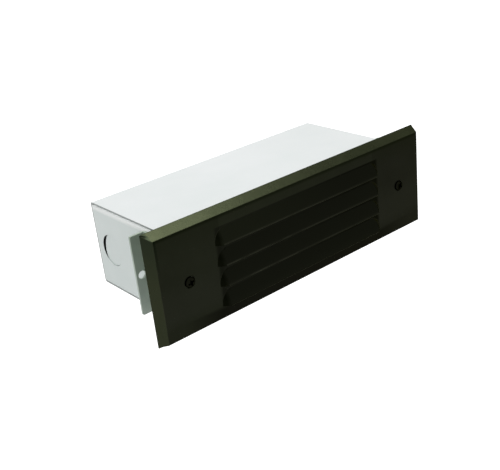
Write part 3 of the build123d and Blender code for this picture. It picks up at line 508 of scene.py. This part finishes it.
# %% Dark bronze and its worn arrises
CAST_EDGE_RADIUS = 0.4 * MM
ARRIS_RADIUS = 0.6 * MM
ARRIS_AGREEMENT = (0.995, 0.9)
bronze = Finish("dark_bronze", Metallic=1.0, Specular_Tint=(0.55, 0.55, 0.50, 1))
bronze.soften(CAST_EDGE_RADIUS)
rounded = bronze.node("Bevel", samples=EDGE_SAMPLES)
rounded.inputs["Radius"].default_value = ARRIS_RADIUS
agree = bronze.node("VectorMath", operation="DOT_PRODUCT")
bronze.link(rounded.outputs[0], agree.inputs[0])
bronze.link(bronze.node("NewGeometry").outputs["True Normal"], agree.inputs[1])
arris = bronze.spread(agree.outputs["Value"], *ARRIS_AGREEMENT)
along, depth, up = (axis_of(bronze, axis) for axis in "XYZ")
out, off_middle = (axis_of(bronze, axis, mirrored=True) for axis in "XZ")
print("the bronze is made of", len(bronze.tree.nodes), "nodes so far")

# %% [markdown]
# Most zones below run between two places on one axis, from where the mask is 0 to where it is 1.  A
# second run, joined by the helper both, cuts a zone to its length.


# %% Zones of the plate and its louvres
def both(first, second):
    """A mask of 1 where two zones of the bronze meet."""
    return combine(bronze, "MINIMUM", first, second)


EDGE = 0.2 * MM
FIELD_FADE = 2 * MM
FAR_FIELD = (-50 * MM, 45 * MM)
TOP_HOOD = (14.5 * MM, 15.5 * MM)
TOP_HOOD_RUN = (35 * MM, -55 * MM)
ABOVE_LOWEST_LIP = (-22 * MM, -18 * MM)
LIP_RUN = (-45 * MM, 50 * MM)
HOOD_START = (0.05 * MM, 0.35 * MM)
LIP_PATCHES = 60
LIP_SPAN = (0.40, 0.58)
WEAR_PATCHES = 160
WEAR_SPAN = (0.42, 0.62)

# The louvres' field, its right part and the hoods are painted darker as painted shade; the top hood's
# left part is painted lighter as painted light.
on_hood = bronze.spread(depth, *(face_y - start for start in HOOD_START))
on_lip = bronze.spread(depth, front_y + LIP_HIGHLIGHT_DEPTH, front_y + LIP_HIGHLIGHT_DEPTH / 3)
in_field = both(
    bronze.spread(out, FIELD_HALF_WIDTH + EDGE, FIELD_HALF_WIDTH - FIELD_FADE),
    bronze.spread(off_middle, FIELD_HALF_HEIGHT + EDGE, FIELD_HALF_HEIGHT - EDGE),
)
far_field = both(in_field, bronze.spread(along, *FAR_FIELD))
top_hood = both(on_hood, bronze.spread(up, *TOP_HOOD))
near_top_hood = both(top_hood, bronze.spread(along, *TOP_HOOD_RUN))
cheek_start = FIELD_HALF_WIDTH - CHEEK_WIDTH
# The hoods' cheeks at both ends are painted darkest: a painted shadow.
on_cheek = both(on_hood, bronze.spread(out, cheek_start, cheek_start + CHEEK_WIDTH / 2))
# The lips get a thin, patchy painted highlight, fading towards the right and left off the lowest lip.
lip_highlight = both(on_lip, bronze.spread(bronze.noise(LIP_PATCHES, 3), *LIP_SPAN, 0.30, 1))
lip_highlight = both(lip_highlight, bronze.spread(up, *ABOVE_LOWEST_LIP))
lip_highlight = both(lip_highlight, bronze.spread(along, *LIP_RUN, 1, 0.45))
worn = combine(bronze, "SUBTRACT", arris, on_hood)
worn = both(worn, bronze.spread(bronze.noise(WEAR_PATCHES, 5), *WEAR_SPAN))
print("the louvres' field is", 2 * FIELD_HALF_WIDTH, "by", 2 * FIELD_HALF_HEIGHT, "m")

# %% Zones of the face and its drafted edges
UPPER_FACE = (20 * MM, 31 * MM)
LOWER_FACE = (6 * MM, -8 * MM)
LOWER_FACE_END = (-27 * MM, -20 * MM)
SHADE_LINE = (2.6 * MM, 0.9 * MM)
SHADE_LINE_LEFT = (2.2 * MM, 0.8 * MM)
SHADE_LINE_DOWN = 24 * MM
MIDDLE_DRAFT = (100 * MM, 60 * MM)
SHADED_DRAFT_FROM = 6 * MM
FOOT_FADE = (1 * MM, -2 * MM)
FOOT_END = 12 * MM

# The drafted edges get a painted highlight; the middle of the top and bottom ones gets less, and the
# upper left one painted shade.
drafted = combine(
    bronze,
    "MAXIMUM",
    bronze.spread(out, face_half_width - EDGE, face_half_width + EDGE),
    bronze.spread(off_middle, face_half_height - EDGE, face_half_height + EDGE),
)
# A painted shade line runs under the top edge and down the upper left edge.
painted_shade_top = both(
    bronze.spread(up, *(face_half_height - line for line in SHADE_LINE)),
    bronze.spread(up, face_half_height + EDGE, face_half_height - EDGE),
)
painted_shade_left = both(
    bronze.spread(along, *(line - face_half_width for line in SHADE_LINE_LEFT)),
    bronze.spread(up, face_half_height - SHADE_LINE_DOWN, face_half_height),
)
left_draft = bronze.spread(along, EDGE - face_half_width, -EDGE - face_half_width)
shaded_draft = both(left_draft, bronze.spread(up, SHADED_DRAFT_FROM, face_half_height))
middle_draft = both(drafted, bronze.spread(out, *MIDDLE_DRAFT))
# The face is painted darker near its top and lighter below its middle: a painted reflection.
upper_face = bronze.spread(up, *UPPER_FACE)
lower_face = both(bronze.spread(up, *LOWER_FACE), bronze.spread(up, *LOWER_FACE_END))
# The foot is painted darker: painted shade, where the face mirrors the shade under the light.
foot_top = FOOT_HEIGHT - face_half_height
foot = both(
    bronze.spread(up, *(foot_top + fade for fade in FOOT_FADE)),
    bronze.spread(out, face_half_width - FOOT_END, FIELD_HALF_WIDTH),
)
print("the foot's dark zone ends at z", round(foot_top, 4))

# %% The coat with its painted light and shade, zone by zone
GREEN_COAT = (0.0118, 0.0134, 0.0082), (0.0146, 0.0164, 0.0102)
BROWN_COAT = (0.0092, 0.0096, 0.0070), (0.0112, 0.0118, 0.0088)
COAT_DRIFT = 0.7 * half_width
COAT_CLOUDS = 26
COAT_SHEEN = 45
COAT_ROUGHNESS = (0.24, 0.32)
POWDER_GRAIN = 1400
GRAIN_HEIGHT = 0.02 * MM
CASTING_SKIN = 220
SKIN_HEIGHT = 0.04 * MM
ZONES = (
    # painted reflection: darker near the top of the face
    (upper_face, 0.35, (0.0070, 0.0088, 0.0036)),
    # painted reflection: lighter below the face's middle
    (lower_face, 0.35, (0.0205, 0.0215, 0.0160)),
    # painted shade on the foot
    (foot, 0.85, (0.0028, 0.0026, 0.0021)),
    # painted shade over the louvres' field
    (in_field, 0.85, (0.0046, 0.0048, 0.0034)),
    # painted shade, deepest, on the strips at the right
    (far_field, 0.80, (0.0004, 0.0005, 0.0004)),
    # painted shade on the hoods
    (on_hood, 0.90, (0.0062, 0.0068, 0.0042)),
    # painted light on the top hood towards the left
    (near_top_hood, 0.45, (0.0105, 0.0122, 0.0068)),
    # painted shadow on the hoods' cheeks
    (on_cheek, 0.85, (0.0018, 0.0022, 0.0008)),
    # painted highlight on the louvres' lips
    (lip_highlight, 0.70, (0.0220, 0.0230, 0.0160)),
    # painted shade line under the top edge
    (painted_shade_top, 0.75, (0.0030, 0.0042, 0.0014)),
    # painted shade line down the upper left edge
    (painted_shade_left, 0.70, (0.0020, 0.0040, 0.0016)),
    # painted highlight on the drafted edges
    (drafted, 1.0, (0.0205, 0.0238, 0.0130)),
    # less painted highlight in the middle of the top and bottom drafts
    (middle_draft, 0.22, (0.0080, 0.0100, 0.0050)),
    # painted shade on the upper left draft
    (shaded_draft, 0.45, (0.0060, 0.0110, 0.0070)),
    (worn, 0.50, (0.0500, 0.0500, 0.0320)),
)

clouds = bronze.spread(bronze.noise(COAT_CLOUDS, 5, 0.65), *CLOUD_SPAN)
# The coat runs from green at the left to a darker brown at the right: partly a change of tone, partly
# painted shade as the light falls off.
drift = bronze.node("Mix", data_type="RGBA")
bronze.link(bronze.spread(along, -COAT_DRIFT, COAT_DRIFT), drift.inputs["Factor"])
bronze.link(bronze.colours(clouds, *GREEN_COAT), drift.inputs["A"])
bronze.link(bronze.colours(clouds, *BROWN_COAT), drift.inputs["B"])
coat = drift.outputs["Result"]
for mask, part, tone in ZONES:
    coat = bronze.overlay(bronze.spread(mask, 0, 1, 0, part), coat, tone)
bronze.paint(coat)
bronze.dull(bronze.noise(COAT_SHEEN, 4), *COAT_ROUGHNESS)
bronze.emboss(bronze.noise(POWDER_GRAIN, 3), GRAIN_HEIGHT)
bronze.emboss(bronze.noise(CASTING_SKIN, 3), SKIN_HEIGHT)
bronze.put_on("faceplate")

# %% [markdown]
# ## Screws, rubber and small metal
#
# The screws that show are blackened, with faint scuffs where a driver has rubbed them.  Zinc plate is a
# bluish grey with a soft spangle; rubber is nearly black and dull.

# %% Blackened screws
BLACKENED_TONES = (0.0040, 0.0042, 0.0026), (0.0080, 0.0084, 0.0052)
SCUFFED = (0.06, 0.06, 0.045)
SCUFFS = 900
SCUFF_SPAN = (0.62, 0.74)
SCUFF_HEIGHT = 0.01 * MM
blackened = Finish("blackened_screw", Metallic=1.0, Specular_Tint=(0.35, 0.35, 0.30, 1))
scuffs = blackened.noise(SCUFFS, 6, 0.7)
dark_tone = blackened.colours(blackened.noise(300, 3), *BLACKENED_TONES)
blackened.paint(blackened.overlay(blackened.spread(scuffs, *SCUFF_SPAN, 0, 0.4), dark_tone, SCUFFED))
blackened.dull(scuffs, 0.3, 0.48)
blackened.emboss(scuffs, SCUFF_HEIGHT)
blackened.put_on("faceplate_screw_left", "faceplate_screw_right")

# %% Zinc plate
PLATE_EDGE_RADIUS = 0.15 * MM
SPANGLE = 260
PLATE_GRAIN = 1500
PLATE_GRAIN_HEIGHT = 0.006 * MM


def plated(name, first, second, low, high, metallic=1.0):
    """Plate with a soft spangle in two tones, whose roughness runs from low to high along its grain."""
    plate = Finish(name, Metallic=metallic)
    plate.soften(PLATE_EDGE_RADIUS)
    spangle = plate.cells(SPANGLE)
    grain = plate.noise(PLATE_GRAIN, 4, 0.6, plate.stretched((1, 0.15, 1)))
    plate.paint(plate.colours(plate.spread(spangle, 0.1, 0.7), first, second))
    plate.dull(grain, low, high)
    plate.emboss(grain, PLATE_GRAIN_HEIGHT)
    return plate


zinc = plated("zinc_plate", (0.62, 0.64, 0.66), (0.52, 0.54, 0.55), 0.28, 0.42)
zinc.put_on("clinch_nuts", "lens_clips", "lens_clip_screws", "reflector_posts", "reflector_screws")
zinc.put_on("lampholder_bracket", "lampholder_screws", "ear_rivets", "bracket_rivets", "ground_terminal")
nickel = plated("nickel_plate", (0.70, 0.68, 0.63), (0.62, 0.60, 0.55), 0.22, 0.34)
nickel.put_on("lamp_base", "lampholder_shell")
brass = plated("brass", (0.78, 0.58, 0.26), (0.66, 0.48, 0.20), 0.25, 0.4)
brass.put_on("lampholder_contact", "terminal_screws")
copper = plated("bare_copper", (0.78, 0.40, 0.24), (0.62, 0.30, 0.18), 0.3, 0.45)
copper.put_on("lead_ends")
dull_solder = plated("solder", (0.55, 0.56, 0.57), (0.42, 0.43, 0.44), 0.4, 0.6)
dull_solder.put_on("lamp_contact")
tungsten = plated("tungsten", (0.30, 0.30, 0.31), (0.22, 0.22, 0.23), 0.4, 0.6)
tungsten.put_on("lamp_filament")
ground_green = plated("green_plate", (0.05, 0.28, 0.10), (0.03, 0.20, 0.07), 0.3, 0.45, 0.6)
ground_green.put_on("ground_screw")

# %% Rubber
PORES = 1300
PORE_DEPTH = 0.05 * MM


def rubber(name, dark, light):
    """Dull rubber with fine pores."""
    made = Finish(name, Specular_IOR_Level=0.25)
    pores = made.cells(PORES)
    made.paint(made.colours(made.noise(90, 4), dark, light))
    made.dull(made.noise(200, 3), 0.7, 0.85)
    made.emboss(made.spread(pores, 0.0, 0.5), PORE_DEPTH)
    return made


foam = rubber("foam_rubber", (0.018, 0.018, 0.018), (0.035, 0.035, 0.034))
foam.put_on("faceplate_gasket", "lens_gasket")
rubber("black_rubber", (0.012, 0.012, 0.012), (0.022, 0.022, 0.022)).put_on("screw_retainers")

# %% [markdown]
# ## Reflector, glass and ceramic
#
# The reflector is bright rolled aluminium whose grain runs along the light.  The lens is frosted, so it
# glows rather than shows what lies behind it.  The lamp's own glass is clear.  The lampholder is glazed
# porcelain, and the lamp's insulator is black glass.

# %% Bright rolled aluminium
ROLLED_EDGE_RADIUS = 0.2 * MM
STREAKS = 900
STREAK_HEIGHT = 0.006 * MM
rolled = Finish("bright_aluminium", Metallic=1.0)
rolled.soften(ROLLED_EDGE_RADIUS)
streaks = rolled.noise(STREAKS, 4, 0.6, rolled.stretched((0.03, 1, 1)))
rolled.paint(rolled.colours(rolled.noise(25, 4), (0.80, 0.81, 0.82), (0.88, 0.885, 0.89)))
rolled.dull(streaks, 0.16, 0.3)
rolled.emboss(streaks, STREAK_HEIGHT)
rolled.put_on("reflector")

# %% Frosted lens
FROST_GRAIN = 2600
FROST_HEIGHT = 0.02 * MM
frosted = Finish("frosted_glass", Transmission_Weight=1.0, IOR=1.5)
frosted.paint(frosted.colours(frosted.noise(30, 3), (0.86, 0.89, 0.88), (0.93, 0.95, 0.94)))
frosted.dull(frosted.noise(700, 3), 0.42, 0.6)
frosted.emboss(frosted.noise(FROST_GRAIN, 3), FROST_HEIGHT)
frosted.put_on("lens")

# %% Lamp glass, stem and insulator
GLASS_WAVES = 60
GLASS_WAVE_HEIGHT = 0.02 * MM
SPECKS = 420
GLAZE_WAVES = 160
GLAZE_WAVE_HEIGHT = 0.05 * MM


def clear_glass(name, first, second, low, high):
    """Blown glass, slightly wavy, whose roughness runs from low to high."""
    glass = Finish(name, Transmission_Weight=1.0, IOR=1.47)
    glass.paint(glass.colours(glass.noise(40, 3), first, second))
    glass.dull(glass.noise(120, 3), low, high)
    glass.emboss(glass.noise(GLASS_WAVES, 2), GLASS_WAVE_HEIGHT)
    return glass


BULB_TONES = (0.93, 0.95, 0.945), (0.97, 0.98, 0.975)
clear_glass("lamp_clear_glass", *BULB_TONES, 0.02, 0.06).put_on("lamp_glass")
STEM_TONES = (0.85, 0.89, 0.88), (0.93, 0.95, 0.94)
clear_glass("stem_glass", *STEM_TONES, 0.05, 0.12).put_on("lamp_stem")


def glazed(name, first, second, speck):
    """A glaze in two tones with small specks under a glossy coat."""
    glaze = Finish(name, Coat_Weight=0.7, Coat_Roughness=0.06)
    tone = glaze.colours(glaze.noise(35, 4), first, second)
    glaze.paint(glaze.overlay(glaze.spread(glaze.cells(SPECKS), 0.06, 0.02, 0, 0.5), tone, speck))
    glaze.dull(glaze.noise(90, 3), 0.3, 0.42)
    glaze.emboss(glaze.noise(GLAZE_WAVES, 3), GLAZE_WAVE_HEIGHT)
    return glaze


WHITE_GLAZE = (0.80, 0.78, 0.72), (0.86, 0.85, 0.80), (0.45, 0.40, 0.32)
glazed("white_porcelain", *WHITE_GLAZE).put_on("lampholder_body")
BLACK_GLAZE = (0.010, 0.010, 0.012), (0.02, 0.02, 0.024), (0.04, 0.04, 0.05)
glazed("black_vitrite", *BLACK_GLAZE).put_on("lamp_insulator")

# %% Insulation and bushing
VINYL_GRAIN = 700
VINYL_GRAIN_HEIGHT = 0.02 * MM


def vinyl(name, first, second):
    """Plastic with a low sheen."""
    made = Finish(name, Specular_IOR_Level=0.45)
    made.paint(made.colours(made.noise(120, 4), first, second))
    made.dull(made.noise(300, 3), 0.34, 0.46)
    made.emboss(made.noise(VINYL_GRAIN, 3), VINYL_GRAIN_HEIGHT)
    return made


vinyl("black_insulation", (0.012, 0.012, 0.012), (0.026, 0.026, 0.026)).put_on("lead_black")
vinyl("white_insulation", (0.74, 0.73, 0.70), (0.82, 0.81, 0.78)).put_on("lead_white")
vinyl("green_insulation", (0.02, 0.18, 0.05), (0.04, 0.26, 0.08)).put_on("ground_lead")
vinyl("black_nylon", (0.016, 0.016, 0.016), (0.03, 0.03, 0.03)).put_on("lead_bushing")

# %% [markdown]
# ## The lamp's filament
#
# A long tubular lamp has a filament that runs up one side, across and back, held by thin nickel
# supports.  The wire itself is a coil about a millimetre wide.  Such a coil could be drawn as a curve,
# but the Screw modifier shows better how it is wound: it turns a small circle, the wire's section, about
# an axis and lifts it a little with each turn.  The corners of the filament's path come from the box of
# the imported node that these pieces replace.

# %% Where the filament runs
WIRE_RADIUS = 0.13 * MM
COIL_RADIUS = 0.48 * MM
COIL_PITCH = 0.75 * MM
COIL_STEPS = 12
WIRE_SIDES = 6
SUPPORT_RADIUS = 0.22 * MM

filament_low, filament_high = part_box("lamp_filament")
lamp_axis_y = (filament_low[1] + filament_high[1]) / 2
leg_y = (filament_high[1] - filament_low[1]) / 2 - SUPPORT_RADIUS - COIL_RADIUS
tip_x = filament_low[0] + COIL_RADIUS + SUPPORT_RADIUS
stem_tip_x = filament_high[0]
leg_x = stem_tip_x - leg_y  # the wires from the stem spread at 45 degrees
print("filament runs from x", round(leg_x, 4), "to", round(tip_x, 4))

# %% Helpers that finish a modelled piece
MERGE_DISTANCE = 0.001 * MM
SMOOTH_ANGLE = math.radians(40)


def only(piece):
    """Makes piece the active and only selected object."""
    bpy.ops.object.select_all(action="DESELECT")
    piece.select_set(True)
    bpy.context.view_layer.objects.active = piece


def settle(piece, name, body, material):
    """Names a finished piece, rests its object at the origin and gives it its body and material."""
    only(piece)
    bpy.ops.object.transform_apply(location=True, rotation=True, scale=True)
    bpy.ops.object.mode_set(mode="EDIT")
    bpy.ops.mesh.select_all(action="SELECT")
    bpy.ops.mesh.remove_doubles(threshold=MERGE_DISTANCE)
    bpy.ops.mesh.normals_make_consistent(inside=False)
    bpy.ops.object.mode_set(mode="OBJECT")
    bpy.ops.object.shade_smooth_by_angle(angle=SMOOTH_ANGLE)
    piece.name = name
    piece.data.name = name
    piece.data.materials.clear()
    piece.data.materials.append(material)
    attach(piece, body)
    print(name, "has", len(piece.data.polygons), "faces")
    return piece


def join(pieces):
    """Joins pieces into the first of them."""
    bpy.ops.object.select_all(action="DESELECT")
    for piece in pieces:
        piece.select_set(True)
    bpy.context.view_layer.objects.active = pieces[0]
    bpy.ops.object.join()
    return pieces[0]


def lie_along(piece, start, end):
    """Turns a piece that was made along Z from the origin, so that it runs from start to end."""
    piece.rotation_mode = "QUATERNION"
    piece.rotation_quaternion = (end - start).to_track_quat("Z", "Y")
    piece.location = start
    only(piece)
    bpy.ops.object.transform_apply(location=True, rotation=True, scale=True)
    return piece


# %% A stretch of coil
def coil(start, end):
    """Fine wire wound round the line from start to end."""
    turns = round((end - start).length / COIL_PITCH)
    bpy.ops.object.select_all(action="DESELECT")
    bpy.ops.mesh.primitive_circle_add(
        vertices=WIRE_SIDES,
        radius=WIRE_RADIUS,
        fill_type="NGON",
        location=(COIL_RADIUS, 0, 0),
        rotation=(math.pi / 2, 0, 0),
    )
    wire = bpy.context.object
    bpy.ops.object.transform_apply(location=True, rotation=True, scale=True)
    bpy.ops.object.mode_set(mode="EDIT")
    bpy.ops.mesh.select_all(action="SELECT")
    bpy.ops.mesh.delete(type="ONLY_FACE")
    bpy.ops.object.mode_set(mode="OBJECT")
    winding = wire.modifiers.new("winding", "SCREW")
    winding.axis = "Z"
    winding.screw_offset = (end - start).length / turns
    winding.iterations = turns
    winding.steps = COIL_STEPS
    winding.render_steps = COIL_STEPS
    winding.use_merge_vertices = False
    bpy.ops.object.modifier_apply(modifier="winding")
    bpy.ops.object.mode_set(mode="EDIT")
    bpy.ops.mesh.select_all(action="DESELECT")
    bpy.ops.mesh.select_non_manifold(extend=False, use_wire=False, use_multi_face=False, use_verts=False)
    bpy.ops.mesh.edge_face_add()
    bpy.ops.object.mode_set(mode="OBJECT")
    return lie_along(wire, start, end)


def corner(x, side):
    """A corner of the filament's path, behind the lamp's axis for side 1 and before it for -1."""
    return Vector((x, lamp_axis_y + side * leg_y, 0))


coils = join([
    coil(corner(leg_x, 1), corner(tip_x, 1)),
    coil(corner(tip_x, 1), corner(tip_x, -1)),
    coil(corner(tip_x, -1), corner(leg_x, -1)),
])
settle(coils, "filament_coil", "lamp", tungsten.material)

# %% [markdown]
# The supports are drawn wire, with clipped and slightly rounded ends.  A disc is extruded to the wire's
# length, and a bevel rounds the edge at both ends.  Two short wires bring the current from the stem to
# the coil.  A long one runs down the middle, and its fork carries the two far corners.

# %% The filament's supports
SUPPORT_SIDES = 12
FORK_DEPTH = 4 * MM
LEG_FOOT = 1.4 * MM
WIRE_END_ANGLE = math.radians(60)


def drawn_wire(start, end):
    """A straight piece of wire with rounded ends."""
    length = (end - start).length
    bpy.ops.object.select_all(action="DESELECT")
    bpy.ops.mesh.primitive_circle_add(vertices=SUPPORT_SIDES, radius=SUPPORT_RADIUS, fill_type="NGON")
    wire = bpy.context.object
    bpy.ops.object.mode_set(mode="EDIT")
    bpy.ops.mesh.select_all(action="SELECT")
    bpy.ops.mesh.extrude_region_move(TRANSFORM_OT_translate={"value": (0, 0, length)})
    bpy.ops.object.mode_set(mode="OBJECT")
    rounding = wire.modifiers.new("rounding", "BEVEL")
    rounding.width = SUPPORT_RADIUS / 2
    rounding.segments = 2
    rounding.limit_method = "ANGLE"
    rounding.angle_limit = WIRE_END_ANGLE
    bpy.ops.object.modifier_apply(modifier="rounding")
    return lie_along(wire, start, end)


fork = Vector((tip_x + FORK_DEPTH, lamp_axis_y, 0))
wires = [drawn_wire(Vector((stem_tip_x, lamp_axis_y, 0)), fork)]
for side in (1, -1):
    foot_on_stem = Vector((stem_tip_x, lamp_axis_y + side * LEG_FOOT, 0))
    wires.append(drawn_wire(foot_on_stem, corner(leg_x, side)))
    wires.append(drawn_wire(fork, corner(tip_x, side)))
supports = settle(join(wires), "filament_supports", "lamp", nickel.material)
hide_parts("lamp_filament")
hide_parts("lamp_filament")

# %% [markdown]
# ## Size
#
# The last cell prints the size of the imported model.

# %% Size and finish
print("packed model", [round(b - a, 4) for a, b in zip(*cad_box)])
